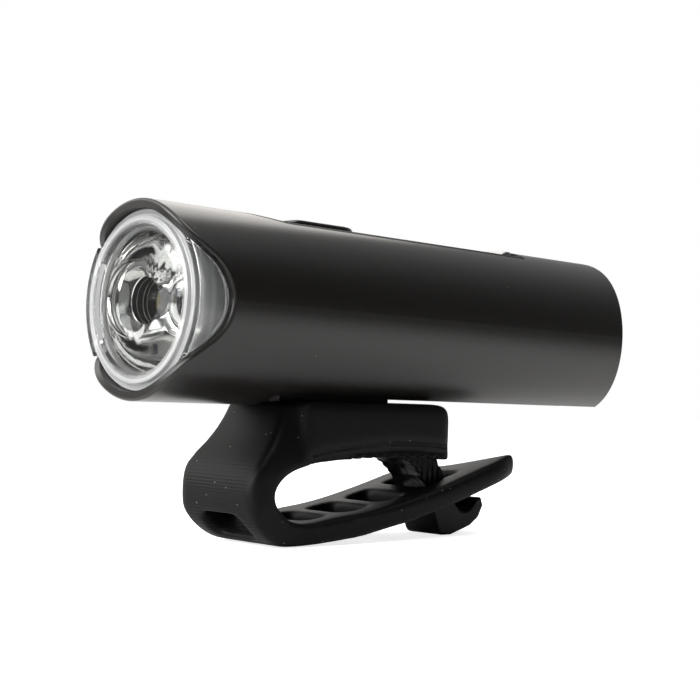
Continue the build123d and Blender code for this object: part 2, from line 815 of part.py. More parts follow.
# Strip that fills the crown flat, with a plug in the tube's slot
pocket_start = cover_hinge_place - cover_hinge_radius - body_gap
pocket_end = cover_end + body_gap
with BuildPart() as top_strip:
    with BuildSketch(side):
        with BuildLine():
            crown_outline(0, 0)
        make_face()
        with BuildLine():
            crown_outline(strip_thickness, strip_thickness / 2)
        make_face(mode=Mode.SUBTRACT)
    extrude(amount=tube_diameter, both=True)
    with BuildSketch(section_at(0)):
        Circle(tube_radius)
    extrude(amount=-tube_length, mode=Mode.INTERSECT)
    with BuildSketch(plan_at(strip_plug_bottom)):
        with Locations((0, (crown_slot_start + crown_slot_end) / 2)):
            RectangleRounded(
                crown_slot_width - 2 * seat_gap,
                crown_slot_end - crown_slot_start - 2 * seat_gap,
                crown_slot_round - seat_gap,
            )
    extrude(amount=strip_top - body_gap - strip_plug_bottom)
    with BuildSketch(plan_at(well_floor_height)):
        with Locations((0, button_middle)):
            SlotOverall(ring_length + 2 * seat_gap, ring_width + 2 * seat_gap, rotation=lengthwise)
    extrude(amount=tube_radius, mode=Mode.SUBTRACT)
    with BuildSketch(plan_at(strip_plug_bottom)):
        with Locations((0, button_middle)):
            Circle(button_stem_diameter / 2 + body_gap)
        with Locations((0, socket_place)):
            SlotOverall(socket_width + 2 * seat_gap, socket_depth + 2 * seat_gap)
    extrude(amount=tube_radius, mode=Mode.SUBTRACT)
    with BuildSketch(plan_at(pocket_floor)):
        with Locations((0, (pocket_start + pocket_end) / 2)):
            RectangleRounded(
                cover_width + 2 * body_gap, pocket_end - pocket_start, cover_front_corner + body_gap
            )
    extrude(amount=tube_radius, mode=Mode.SUBTRACT)
top_strip.part.label = "top_strip"
export_step(top_strip.part, "parts/top_strip.step")

with BuildPart() as light_ring:
    with BuildSketch(plan_at(well_floor_height)):
        with Locations((0, button_middle)):
            SlotOverall(ring_length, ring_width, rotation=lengthwise)
            SlotOverall(
                ring_length - 2 * ring_wall,
                ring_width - 2 * ring_wall,
                rotation=lengthwise,
                mode=Mode.SUBTRACT,
            )
    extrude(amount=ring_top - well_floor_height)
light_ring.part.label = "light_ring"
export_step(light_ring.part, "parts/light_ring.step")

# Button with a ramp at its front and a stem over the plunger
with BuildPart() as power_button:
    with BuildSketch(plan_at(button_bottom)):
        with Locations((0, button_middle)):
            SlotOverall(button_length, button_width, rotation=lengthwise)
    extrude(amount=tube_radius)
    with BuildSketch(side):
        with BuildLine():
            FilletPolyline(
                (button_start, 0),
                (button_start, button_front_top),
                (button_crest, button_top),
                (button_end, button_top),
                (button_end, 0),
                radius=[0, 0, crown_ramp_round, 0, 0],
                close=True,
            )
        make_face()
    extrude(amount=button_width, both=True, mode=Mode.INTERSECT)
    top_edges = power_button.edges().filter_by_position(
        Axis.Z, axis_height + button_front_top - seat_gap, axis_height + tube_radius
    )
    fillet(top_edges, button_edge_round)
    with BuildSketch(plan_at(button_bottom)):
        with Locations((0, button_middle)):
            Circle(button_stem_diameter / 2)
    extrude(amount=-(button_bottom - plunger_top - seat_gap))
power_button.part.label = "power_button"
export_step(power_button.part, "parts/power_button.step")

# Cover of the charging socket: barrel, plate, finger lip and plug
with BuildPart() as usb_cover:
    with BuildSketch(side):
        with BuildLine():
            FilletPolyline(
                (cover_hinge_place, cover_bottom),
                (cover_end, cover_bottom),
                (cover_end, cover_top + lip_height),
                (cover_end - lip_thickness, cover_top + lip_height),
                (lip_front + lip_thickness, cover_top),
                (cover_hinge_place, cover_top),
                radius=[0, 0, lip_round, lip_round / 2, lip_scoop_round, 0],
                close=True,
            )
        make_face()
        with Locations((cover_hinge_place, cover_hinge_height)):
            Circle(cover_hinge_radius)
    extrude(amount=cover_width / 2, both=True)
    with BuildSketch(section_at(0)):
        Circle(cover_top + lip_height)
    extrude(amount=-tube_length, mode=Mode.INTERSECT)
    with BuildSketch(plan_at(0)):
        with BuildLine():
            FilletPolyline(
                (-cover_width / 2, 0),
                (-cover_width / 2, cover_end),
                (cover_width / 2, cover_end),
                (cover_width / 2, 0),
                radius=[0, cover_corner, cover_corner, 0],
                close=True,
            )
        make_face()
    extrude(amount=tube_diameter, mode=Mode.INTERSECT)
    with BuildSketch(plan_at(cover_bottom)):
        with Locations((0, socket_place)):
            SlotOverall(cover_plug_width, cover_plug_depth)
    extrude(amount=-cover_plug_reach)
usb_cover.part.label = "usb_cover"
export_step(usb_cover.part, "parts/usb_cover.step")

# Cap in the rear end, its seal and its screws
cap_groove_start = cap_face - cap_groove_place
with BuildPart() as rear_cap:
    with BuildSketch(section_at(cap_front)):
        bore_section(0)
    extrude(amount=-(cap_groove_start - cap_front))
    with BuildSketch(section_at(cap_groove_start)):
        bore_section(cap_seal_depth)
    extrude(amount=-cap_seal_width)
    with BuildSketch(section_at(cap_groove_start + cap_seal_width)):
        bore_section(0)
    extrude(amount=-(cap_face - cap_groove_start - cap_seal_width))
    with BuildSketch(section_at(cap_front)):
        bore_section(cap_wall)
    extrude(amount=-(cap_face - cap_wall - cap_front), mode=Mode.SUBTRACT)
    with BuildSketch(section_at(cap_face)):
        with Locations(*rear_screw_spots):
            Circle(rear_screw_diameter / 2 + seat_gap)
    extrude(amount=cap_wall, mode=Mode.SUBTRACT)
    with BuildSketch(section_at(cap_face)):
        with Locations(*rear_screw_spots):
            Circle(rear_screw_head_diameter / 2 + seat_gap)
    extrude(amount=rear_screw_head_height / 2, mode=Mode.SUBTRACT)
rear_cap.part.label = "rear_cap"
export_step(rear_cap.part, "parts/rear_cap.step")

with BuildPart() as rear_seal:
    with BuildSketch(section_at(cap_groove_start)):
        bore_section(0)
    extrude(amount=-cap_seal_width)
    with BuildSketch(section_at(cap_groove_start)):
        bore_section(cap_seal_depth)
    extrude(amount=-cap_seal_width, mode=Mode.SUBTRACT)
rear_seal.part.label = "rear_seal"
export_step(rear_seal.part, "parts/rear_seal.step")

with BuildPart() as rear_screws:
    with BuildSketch(section_at(cap_face - rear_screw_head_height / 2)):
        with Locations(*rear_screw_spots):
            Circle(rear_screw_head_diameter / 2)
    extrude(amount=-rear_screw_head_height)
    head_face = cap_face + rear_screw_head_height / 2
    with BuildSketch(section_at(cap_face)):
        with Locations(*rear_screw_spots):
            Circle(rear_screw_diameter / 2)
    extrude(amount=rear_screw_length)
    with BuildSketch(section_at(head_face)):
        with Locations(*rear_screw_spots):
            RegularPolygon(rear_drive_width / 2, drive_sides)
    extrude(amount=2 * drive_depth, mode=Mode.SUBTRACT)
rear_screws.part.label = "rear_screws"
export_step(rear_screws.part, "parts/rear_screws.step")

# Mount: T-shaped key, screwed to the block
key_root = -underside_depth - block_gap - key_sink
key_head_bottom = undercut_bottom + body_gap
key_head_top = undercut_top - body_gap
rail_screw_spots = [(0, rail_key_start + rail_screw_inset), (0, rail_key_end - rail_screw_inset)]
with BuildPart() as rail_key:
    with BuildSketch(section_at(rail_key_start)):
        with Locations((0, key_root)):
            Rectangle(
                rail_mouth_width - 2 * body_gap,
                key_head_top - key_root,
                align=(Align.CENTER, Align.MIN),
            )
        with Locations((0, key_head_bottom)):
            Rectangle(
                rail_undercut_width - 2 * body_gap,
                key_head_top - key_head_bottom,
                align=(Align.CENTER, Align.MIN),
            )
    extrude(amount=-(rail_key_end - rail_key_start))
    with BuildSketch(plan_at(key_root)):
        with Locations(*rail_screw_spots):
            Circle(rail_screw_diameter / 2 + seat_gap)
    extrude(amount=key_head_top - key_root, mode=Mode.SUBTRACT)
    with BuildSketch(plan_at(key_head_top)):
        with Locations(*rail_screw_spots):
            Circle(rail_screw_head_diameter / 2 + seat_gap)
    extrude(amount=-rail_screw_head_height - seat_gap, mode=Mode.SUBTRACT)
rail_key.part.label = "rail_key"
export_step(rail_key.part, "parts/rail_key.step")

screw_face = key_head_top - seat_gap
with BuildPart() as rail_screws:
    with BuildSketch(plan_at(screw_face)):
        with Locations(*rail_screw_spots):
            Circle(rail_screw_head_diameter / 2)
    extrude(amount=-rail_screw_head_height)
    with BuildSketch(plan_at(screw_face)):
        with Locations(*rail_screw_spots):
            Circle(rail_screw_diameter / 2)
    extrude(amount=-rail_screw_length)
    with BuildSketch(plan_at(screw_face)):
        with Locations(*rail_screw_spots):
            RegularPolygon(rail_drive_width / 2, drive_sides)
    extrude(amount=-drive_depth, mode=Mode.SUBTRACT)
rail_screws.part.label = "rail_screws"
export_step(rail_screws.part, "parts/rail_screws.step")


def block_outline():
    """Side view of the block over the strap's pad."""
    middle = (block_front + block_rear) / 2
    Polyline(
        (block_rear, block_rear_height),
        (block_rear, block_top),
        (block_front, block_top),
        (block_front, block_front_height),
    )
    ThreePointArc(
        (block_front, block_front_height),
        (middle, block_middle_height),
        (block_rear, block_rear_height),
    )


def hook_outline():
    """Side view of the hook, from its root in the block to its toe and rear nose."""
    points = [(hook_front + reach * hook_length, height * hook_root_height) for reach, height in hook_shares]
    FilletPolyline(*points, radius=[share * hook_length for share in hook_round_shares], close=True)


def run_direction(along):
    """Direction of the strap's lower run, in the side view."""
    share = (along - strap_bend_start) / run_rise_length
    rise_slope = run_power * run_rise * share ** (run_power - 1)
    droop_slope = tab_droop_power * tab_droop * share ** (tab_droop_power - 1)
    return Vector(1, (rise_slope - droop_slope) / run_rise_length).normalized()


def run_point(along, offset):
    """Point of the strap's lower run, that far over its middle line."""
    share = (along - strap_bend_start) / run_rise_length
    height = strap_thickness / 2 + run_rise * share**run_power - tab_droop * share**tab_droop_power
    direction = run_direction(along)
    return (along - offset * direction.Y, height + offset * direction.X)


def pad_arc(drop):
    """Underside of the strap's pad in the side view, lowered by a drop."""
    return ThreePointArc(
        (pad_front, pad_front_height - drop),
        (pad_middle, pad_middle_height - drop),
        (block_rear, pad_rear_height - drop),
    )


# Block that carries the key
with BuildPart() as bracket_core:
    with BuildSketch(table_side):
        with BuildLine():
            block_outline()
        make_face()
        upper_rear = vertices().sort_by(Axis.Y)[-2:].sort_by(Axis.X)[-1]
        fillet(upper_rear, block_rear_round)
    extrude(amount=block_width / 2, both=True)
    with BuildSketch(Plane(origin=(0, front_y, 0))):
        with BuildLine():
            FilletPolyline(
                (-block_width / 2, block_front),
                (-block_width / 2, block_rear),
                (block_width / 2, block_rear),
                (block_width / 2, block_front),
                radius=[0, block_plan_round, block_plan_round, 0],
                close=True,
            )
        make_face()
    extrude(amount=axis_height, mode=Mode.INTERSECT)
    fillet(bracket_core.faces().sort_by(Axis.Z)[-1].edges().filter_by(Axis.Y), block_edge_round)
    with BuildSketch(section_at(rail_key_start)):
        with Locations((0, key_root - seat_gap)):
            Rectangle(
                rail_mouth_width - 2 * body_gap + 2 * seat_gap,
                axis_height,
                align=(Align.CENTER, Align.MIN),
            )
    extrude(amount=-(rail_key_end - rail_key_start + seat_gap), mode=Mode.SUBTRACT)
    with BuildSketch(plan_at(key_root)):
        with Locations(*rail_screw_spots):
            Circle(rail_screw_diameter / 2 + seat_gap)
    extrude(amount=-rail_screw_length, mode=Mode.SUBTRACT)
    with BuildSketch(table_side):
        with BuildLine():
            hook_outline()
        make_face()
        offset(amount=seat_gap)
    extrude(amount=hook_width / 2 + seat_gap, both=True, mode=Mode.SUBTRACT)
bracket_core.part.label = "bracket_core"
export_step(bracket_core.part, "parts/bracket_core.step")

# Hook: a wide ribbed heel under the pad and a narrow foot through the strap's slot
heel_low = heel_front + heel_lean
heel_bottom = pad_middle_height - heel_depth
heel_middle = (heel_low + block_rear) / 2
strap_clear = strap_thickness / 2 + seat_gap
with BuildPart() as strap_hook:
    with BuildSketch(table_side):
        with BuildLine():
            Polyline(
                (heel_front - heel_lean, pad_middle_height + heel_depth),
                (heel_low, heel_bottom),
                (heel_low + heel_step, 0),
                (block_rear, 0),
                (block_rear, pad_middle_height + heel_depth),
                close=True,
            )
        make_face()
    extrude(amount=heel_width / 2, both=True)
    with BuildSketch(Plane(origin=(0, front_y, 0))):
        with Locations((0, heel_middle)):
            with GridLocations(heel_width, heel_rib_pitch, 2, heel_rib_count):
                Rectangle(2 * heel_rib_depth, heel_rib_width)
    extrude(amount=axis_height, mode=Mode.SUBTRACT)
    with BuildSketch(table_side):
        with BuildLine():
            pad_arc(seat_gap)
            Polyline(
                (block_rear, pad_rear_height - seat_gap),
                (block_rear + overrun, pad_rear_height - seat_gap),
                (block_rear + overrun, axis_height),
                (pad_front, axis_height),
                (pad_front, pad_front_height - seat_gap),
            )
        make_face()
        with BuildLine():
            run_top = Spline(
                *[run_point(strap_bend_start + run_rise_length * share, strap_clear) for share in run_shares]
            )
            Polyline(run_top @ 1, ((run_top @ 1).X, -overrun), ((run_top @ 0).X, -overrun), run_top @ 0)
        make_face()
    extrude(amount=heel_width, both=True, mode=Mode.SUBTRACT)
    with BuildSketch(table_side):
        with BuildLine():
            hook_outline()
        make_face()
    extrude(amount=hook_width / 2, both=True)
strap_hook.part.label = "strap_hook"
export_step(strap_hook.part, "parts/strap_hook.step")


# Strap: neck in front of the block, nose, lower run and pad in one moulding
half_thickness = strap_thickness / 2
strap_half = strap_width / 2
neck_half = neck_width / 2
foot_half = strap_foot_width / 2
strap_slots = [
    (slot_one_start, slot_one_end),
    (slot_two_start, slot_two_end),
    (hook_slot_start, hook_slot_end),
]
tooth_step = (tooth_last_share - tooth_first_share) / (tooth_count - 1)
tooth_shares = [tooth_first_share + tooth * tooth_step for tooth in range(tooth_count)]
run_places = [strap_bend_start + run_rise_length * share for share in run_shares]
outer_points = [(strap_front + a * strap_reach, b * block_top) for a, b in nose_shares]
inner_points = [(strap_front + a * strap_reach, b * block_top) for a, b in loop_shares]
neck_back = block_front + neck_overlap
neck_front = block_front - seat_gap - neck_thickness
neck_top = block_top - neck_setback
with BuildPart() as strap:
    with BuildSketch(table_side):
        with BuildLine():
            Spline(
                (neck_front, neck_top),
                *outer_points,
                (strap_bend_start, 0),
                tangents=[neck_direction, (1, 0)],
            )
            bottom = Spline(
                (strap_bend_start, 0),
                *[run_point(place, -half_thickness) for place in run_places],
                tangents=[(1, 0), run_direction(run_places[-1])],
            )
            top = Spline(
                *[run_point(place, half_thickness) for place in reversed(run_places)],
                *inner_points,
                (pad_front, pad_front_height),
                tangents=[-run_direction(run_places[-1]), pad_entry_direction],
            )
            ThreePointArc(bottom @ 1, run_point(run_places[-1] + half_thickness, 0), top @ 0)
            pad_line = pad_arc(0)
            Polyline(
                (block_rear, pad_rear_height),
                (block_rear, block_middle_height),
                (neck_back, block_middle_height),
                (neck_back, neck_top),
                (neck_front, neck_top),
            )
        make_face()
    extrude(amount=strap_width / 2, both=True)
    with BuildSketch(front_table):
        with BuildLine():
            Polyline(
                (foot_half, 0),
                (0, 0),
                (0, axis_height),
                (neck_half, axis_height),
                (neck_half, block_top),
            )
            Spline(
                (neck_half, block_top),
                *[(neck_half + a * (strap_half - neck_half), b * block_top) for a, b in width_shares],
                (foot_half, 0),
                tangents=[(0, -1), foot_direction],
            )
        make_face()
        mirror(about=Plane.YZ)
    extrude(amount=-tube_length, mode=Mode.INTERSECT)
    with BuildSketch(Plane(origin=(0, front_y, 0))):
        with BuildLine():
            FilletPolyline(
                (-strap_half, strap_front),
                (-strap_half, strap_front + strap_reach),
                (strap_half, strap_front + strap_reach),
                (strap_half, strap_front),
                radius=[nose_plan_round, tab_plan_round, tab_plan_round, nose_plan_round],
                close=True,
            )
        make_face()
    extrude(amount=axis_height, mode=Mode.INTERSECT)
    with BuildSketch(Plane(origin=(0, front_y, pad_rear_height - pad_rear_thickness))):
        with Locations((0, block_rear)):
            Rectangle(2 * strap_width, 2 * block_plan_round)
        with BuildLine():
            FilletPolyline(
                (-strap_half, pad_front),
                (-strap_half, block_rear),
                (strap_half, block_rear),
                (strap_half, pad_front),
                radius=[0, block_plan_round, block_plan_round, 0],
                close=True,
            )
        make_face(mode=Mode.SUBTRACT)
    extrude(amount=axis_height, mode=Mode.SUBTRACT)
    with BuildSketch(table_side):
        with BuildLine():
            block_outline()
        make_face()
        offset(amount=seat_gap)
    extrude(amount=strap_width, both=True, mode=Mode.SUBTRACT)
    with BuildSketch(table_side):
        with BuildLine():
            hook_outline()
        make_face()
        offset(amount=seat_gap)
    extrude(amount=hook_width / 2 + seat_gap, both=True, mode=Mode.SUBTRACT)
    with BuildSketch(Plane(origin=(0, front_y, 0))):
        for start, end in strap_slots:
            with Locations((0, (start + end) / 2)):
                RectangleRounded(slot_width, end - start, slot_round)
    extrude(amount=pad_rear_height - slot_round, mode=Mode.SUBTRACT)
    nose_slot_spot = (0, front_y + strap_front + nose_thickness / 2, nose_thickness / 2)
    with BuildSketch(Plane(origin=nose_slot_spot, x_dir=(1, 0, 0), z_dir=(0, 1, 1))):
        RectangleRounded(slot_width, nose_slot_length, slot_round)
    extrude(amount=2 * nose_thickness, both=True, mode=Mode.SUBTRACT)
    with BuildSketch(table_side):
        with Locations(*[pad_line @ share for share in tooth_shares]):
            Circle(tooth_radius)
    extrude(amount=strap_width, both=True, mode=Mode.SUBTRACT)
strap.part.label = "strap"
export_step(strap.part, "parts/strap.step")
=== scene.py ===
import math

import bmesh
import bpy
from mathutils import Matrix, Vector, noise as turbulence


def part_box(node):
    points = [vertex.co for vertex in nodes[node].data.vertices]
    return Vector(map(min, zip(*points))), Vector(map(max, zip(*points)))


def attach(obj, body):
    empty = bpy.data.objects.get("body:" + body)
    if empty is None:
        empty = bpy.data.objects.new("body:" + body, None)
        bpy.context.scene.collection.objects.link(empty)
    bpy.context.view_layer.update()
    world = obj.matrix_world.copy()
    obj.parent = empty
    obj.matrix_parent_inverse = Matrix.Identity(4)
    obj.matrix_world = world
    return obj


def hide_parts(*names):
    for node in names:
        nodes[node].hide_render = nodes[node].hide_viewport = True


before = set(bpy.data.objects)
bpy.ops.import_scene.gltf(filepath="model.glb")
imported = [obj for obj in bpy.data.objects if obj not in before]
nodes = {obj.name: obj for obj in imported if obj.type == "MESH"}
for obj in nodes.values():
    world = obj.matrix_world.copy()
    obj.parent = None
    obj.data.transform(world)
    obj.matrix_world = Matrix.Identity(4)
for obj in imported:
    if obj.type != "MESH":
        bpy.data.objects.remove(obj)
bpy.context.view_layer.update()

MM = 0.001
FRONT_Y = -56.151 * MM  # rim of the tube
AXIS_Z = 39.3 * MM  # axis of the tube

# Measures of the materials; lengths in millimetres, places along from the tube's rim

TUBE_RADIUS = 16.0
EMPTY_CELLS = 0.86  # share of the dust's cells without a speck
PLASTIC_IOR = 1.5
ACRYLIC_IOR = 1.49
SILICONE_IOR = 1.41
HAZE_RADIUS = 12.4
SLEEVE_START = 3.0
SLEEVE_DEPTH = 5.4
SLEEVE_HIGHLIGHT_RINGS = (0.2, 0.42, 0.56)  # shares of the sleeve's depth at which the painted highlight rings lie
# half width of each painted highlight ring, as a share of the sleeve's depth
HIGHLIGHT_RING_HALF = 0.012
BEND_RIB_PITCH = 0.55
BEND_RIB_DEPTH = 0.06
BEND_RIB_HALF = 8.0
BEND_RIB_END = 33.0  # place along and height added up


# Node helpers

def find_node(tree, kind):
    """The node of a kind that a new tree comes with."""
    return next(node for node in tree.nodes if node.type == kind)


def new_material(name):
    """A material, its tree and its Principled shader."""
    material = bpy.data.materials.new(name)
    material.use_nodes = True
    tree = material.node_tree
    return material, tree, find_node(tree, "BSDF_PRINCIPLED")


def add_node(tree, kind, **values):
    """Adds a node and sets its attributes, or its inputs by name."""
    node = tree.nodes.new(kind)
    for key, value in values.items():
        if hasattr(node, key):
            setattr(node, key, value)
        else:
            node.inputs[key.replace("_", " ")].default_value = value
    return node


def feed(tree, socket, value):
    """Links a socket to an input, or sets a number or a colour on it."""
    if isinstance(value, tuple):
        socket.default_value = value + (1,)
    elif isinstance(value, (int, float)):
        socket.default_value = value
    else:
        tree.links.new(value, socket)


def math_node(tree, operation, *values):
    """Result of an operation on numbers and sockets."""
    node = add_node(tree, "ShaderNodeMath", operation=operation)
    for socket, value in zip(node.inputs, values):
        feed(tree, socket, value)
    return node.outputs[0]


def product(tree, first, *others):
    """Product of numbers and sockets."""
    for other in others:
        first = math_node(tree, "MULTIPLY", first, other)
    return first


def mix_colour(tree, mask, first, second, blend="MIX"):
    """Mix of two colours by a mask, each of them a value or a socket."""
    node = add_node(tree, "ShaderNodeMix", data_type="RGBA", blend_type=blend)
    used = [socket for socket in node.inputs if socket.enabled]
    for socket, value in zip(used, (mask, first, second)):
        feed(tree, socket, value)
    return next(socket for socket in node.outputs if socket.enabled)


def spread(tree, value, low, high):
    """Maps 0..1 to low..high."""
    node = add_node(tree, "ShaderNodeMapRange", To_Min=low, To_Max=high)
    tree.links.new(value, node.inputs["Value"])
    return node.outputs["Result"]


def ramp(tree, value, stops):
    """Colour ramp from (place, colour) stops; one number stands for a grey."""
    node = add_node(tree, "ShaderNodeValToRGB")
    elements = node.color_ramp.elements
    elements[0].position = stops[0][0]
    elements[1].position = stops[-1][0]
    for place, _ in stops[1:-1]:
        elements.new(place)
    for element, (_, colour) in zip(elements, stops):
        shade = colour if isinstance(colour, tuple) else (colour,) * 3
        element.color = shade + (1,)
    tree.links.new(value, node.inputs["Fac"])
    return node.outputs["Color"]


def object_coords(tree):
    """Object coordinates in millimetres."""
    coords = add_node(tree, "ShaderNodeTexCoord")
    mapping = add_node(tree, "ShaderNodeMapping", Scale=(1 / MM,) * 3)
    tree.links.new(coords.outputs["Object"], mapping.inputs["Vector"])
    return mapping.outputs["Vector"]


def place_sockets(tree):
    """Across, along from the rim, and height, in millimetres, at each point of a surface."""
    split = add_node(tree, "ShaderNodeSeparateXYZ")
    tree.links.new(object_coords(tree), split.inputs["Vector"])
    along = math_node(tree, "SUBTRACT", split.outputs["Y"], FRONT_Y / MM)
    return split.outputs["X"], along, split.outputs["Z"]


def axis_distance(tree, across, height):
    """Distance from the tube's axis, in millimetres."""
    up = math_node(tree, "SUBTRACT", height, AXIS_Z / MM)
    squares = math_node(tree, "ADD", product(tree, across, across), product(tree, up, up))
    return math_node(tree, "SQRT", squares)


def noise(tree, vector, scale, detail=3.0, roughness=0.55):
    """Noise with a scale in waves per unit of the vector."""
    node = add_node(tree, "ShaderNodeTexNoise", Scale=scale, Detail=detail, Roughness=roughness)
    tree.links.new(vector, node.inputs["Vector"])
    return node.outputs["Fac"]


def dust(tree, vector, density, size):
    """Mask of small specks, from cells per millimetre and a speck's radius in cells."""
    cells = add_node(tree, "ShaderNodeTexVoronoi", Scale=density)
    tree.links.new(vector, cells.inputs["Vector"])
    tint = add_node(tree, "ShaderNodeSeparateColor")
    tree.links.new(cells.outputs["Color"], tint.inputs["Color"])
    near = math_node(tree, "LESS_THAN", cells.outputs["Distance"], size)
    chosen = math_node(tree, "GREATER_THAN", tint.outputs["Red"], EMPTY_CELLS)
    return product(tree, near, chosen)


def add_bump(tree, shader, height, strength, depth):
    """Adds a bump with a depth in millimetres on top of what the shader has."""
    node = add_node(tree, "ShaderNodeBump", Strength=strength, Distance=depth * MM)
    tree.links.new(height, node.inputs["Height"])
    normal = shader.inputs["Normal"]
    if normal.is_linked:
        tree.links.new(normal.links[0].from_socket, node.inputs["Normal"])
    tree.links.new(node.outputs["Normal"], normal)


# Kinds of material

def make_surface(name, dark, light, rough, grain, fine=(0.1, 0.01), patch_scale=0.25, specks=None,
                 metallic=0.0, coat=None, specular=0.5):
    """Surface with a mottled colour, a varied roughness and a fine grain.

    grain is noise per millimetre, fine is the bump's strength and depth, specks are cells per
    millimetre, radius in cells and colour, and coat is its weight and roughness.
    """
    material, tree, shader = new_material(name)
    vector = object_coords(tree)
    patches = noise(tree, vector, patch_scale, 4.0)
    grains = noise(tree, vector, grain, 2.0)
    colour = mix_colour(tree, patches, dark, light)
    if specks:
        density, size, speck_colour = specks
        colour = mix_colour(tree, dust(tree, vector, density, size), colour, speck_colour)
    tree.links.new(colour, shader.inputs["Base Color"])
    blotches = math_node(tree, "ADD", product(tree, patches, 0.7), product(tree, grains, 0.3))
    tree.links.new(spread(tree, blotches, *rough), shader.inputs["Roughness"])
    add_bump(tree, shader, grains, *fine)
    shader.inputs["Metallic"].default_value = metallic
    shader.inputs["IOR"].default_value = PLASTIC_IOR
    shader.inputs["Specular IOR Level"].default_value = specular
    if coat:
        shader.inputs["Coat Weight"].default_value = coat[0]
        shader.inputs["Coat Roughness"].default_value = coat[1]
    return material


def make_clear(name, colour, rough, ior, haze=None, haze_colour=None):
    """Clear moulded plastic with faint flow marks; haze gives the share of white that clouds it."""
    material, tree, shader = new_material(name)
    vector = object_coords(tree)
    waves = noise(tree, vector, 0.35, 2.0)
    tint = mix_colour(tree, waves, colour, tuple(part * 0.985 for part in colour))
    tree.links.new(tint, shader.inputs["Base Color"])
    fine = noise(tree, vector, 6.0, 2.0)
    tree.links.new(spread(tree, fine, *rough), shader.inputs["Roughness"])
    add_bump(tree, shader, waves, 0.05, 0.02)
    shader.inputs["Transmission Weight"].default_value = 1.0
    shader.inputs["IOR"].default_value = ior
    if haze:
        white = add_node(tree, "ShaderNodeBsdfDiffuse", Color=haze_colour + (1,))
        blend = add_node(tree, "ShaderNodeMixShader")
        tree.links.new(haze(tree), blend.inputs["Fac"])
        tree.links.new(shader.outputs["BSDF"], blend.inputs[1])
        tree.links.new(white.outputs["BSDF"], blend.inputs[2])
        tree.links.new(blend.outputs["Shader"], find_node(tree, "OUTPUT_MATERIAL").inputs["Surface"])
    return material


def cover_haze(tree):
    """White in the front cover: none in the window, most on the flange, little in the lobes."""
    across, along, height = place_sockets(tree)
    radius = axis_distance(tree, across, height)
    flange = ramp(
        tree,
        math_node(tree, "DIVIDE", radius, TUBE_RADIUS),
        [(0.74, 0.0), (0.785, 0.45), (0.89, 0.55), (0.915, 0.0), (1.0, 0.03)],
    )
    rings = spread(tree, math_node(tree, "SINE", product(tree, radius, 9.0)), 0.8, 1.0)
    bands = spread(tree, math_node(tree, "SINE", product(tree, along, 2.6)), 0.75, 1.0)
    return product(tree, flange, rings, bands)


def flange_haze(tree):
    """White in the collimator: only on its flange."""
    across, _, height = place_sockets(tree)
    share = math_node(tree, "DIVIDE", axis_distance(tree, across, height), HAZE_RADIUS)
    return ramp(tree, share, [(0.88, 0.0), (0.92, 0.35), (1.0, 0.4)])


def make_sleeve(name):
    """Near-black wall, which is painted shade in the recess, with three thin bright rings, which are
    painted highlights, and a yellow floor that shows the phosphor's colour.
    """
    material, tree, shader = new_material(name)
    _, along, _ = place_sockets(tree)
    depth = math_node(tree, "DIVIDE", math_node(tree, "SUBTRACT", along, SLEEVE_START), SLEEVE_DEPTH)
    # painted shade: the wall's near-black colour; painted highlight: the rings' bright colour
    dark = 0.008
    bright = 0.75
    stops = [(0.0, dark)]
    for place in SLEEVE_HIGHLIGHT_RINGS:
        stops += [(place - HIGHLIGHT_RING_HALF, dark), (place, bright), (place + HIGHLIGHT_RING_HALF, dark)]
    stops += [(0.88, dark), (0.93, (0.75, 0.66, 0.3)), (1.0, (0.85, 0.78, 0.45))]
    tree.links.new(ramp(tree, depth, stops), shader.inputs["Base Color"])
    fine = noise(tree, object_coords(tree), 2.0)
    tree.links.new(spread(tree, fine, 0.08, 0.2), shader.inputs["Roughness"])
    return material


def add_ribs(material):
    """Fine worn ribs across the strap's front bend."""
    tree = material.node_tree
    across, along, height = place_sockets(tree)
    wave = math_node(tree, "SINE", product(tree, height, 2 * math.pi / BEND_RIB_PITCH))
    on_bend = math_node(tree, "LESS_THAN", math_node(tree, "ADD", along, height), BEND_RIB_END)
    between_sides = math_node(tree, "LESS_THAN", math_node(tree, "ABSOLUTE", across), BEND_RIB_HALF)
    worn = noise(tree, object_coords(tree), 0.5)
    ribs = product(tree, wave, worn, on_bend, between_sides)
    add_bump(tree, find_node(tree, "BSDF_PRINCIPLED"), ribs, 0.45, BEND_RIB_DEPTH)


# Materials of the part

anodised = make_surface(
    "anodised", (0.006, 0.0052, 0.0048), (0.008, 0.0072, 0.0067), (0.29, 0.33), 7.0,
    fine=(0.04, 0.006), specks=(0.42, 0.04, (0.3, 0.26, 0.22)),
)
clear = make_clear(
    "clear_cover", (0.97, 0.98, 0.98), (0.01, 0.03), PLASTIC_IOR, cover_haze, (0.86, 0.87, 0.88),
)
optic = make_clear(
    "clear_optic", (0.985, 0.99, 0.99), (0.0, 0.012), ACRYLIC_IOR, flange_haze, (0.9, 0.9, 0.88),
)
mirror = make_surface(
    "mirror_wall", (0.88, 0.88, 0.86), (0.93, 0.93, 0.92), (0.015, 0.04), 3.0,
    fine=(0.02, 0.002), metallic=1.0,
)
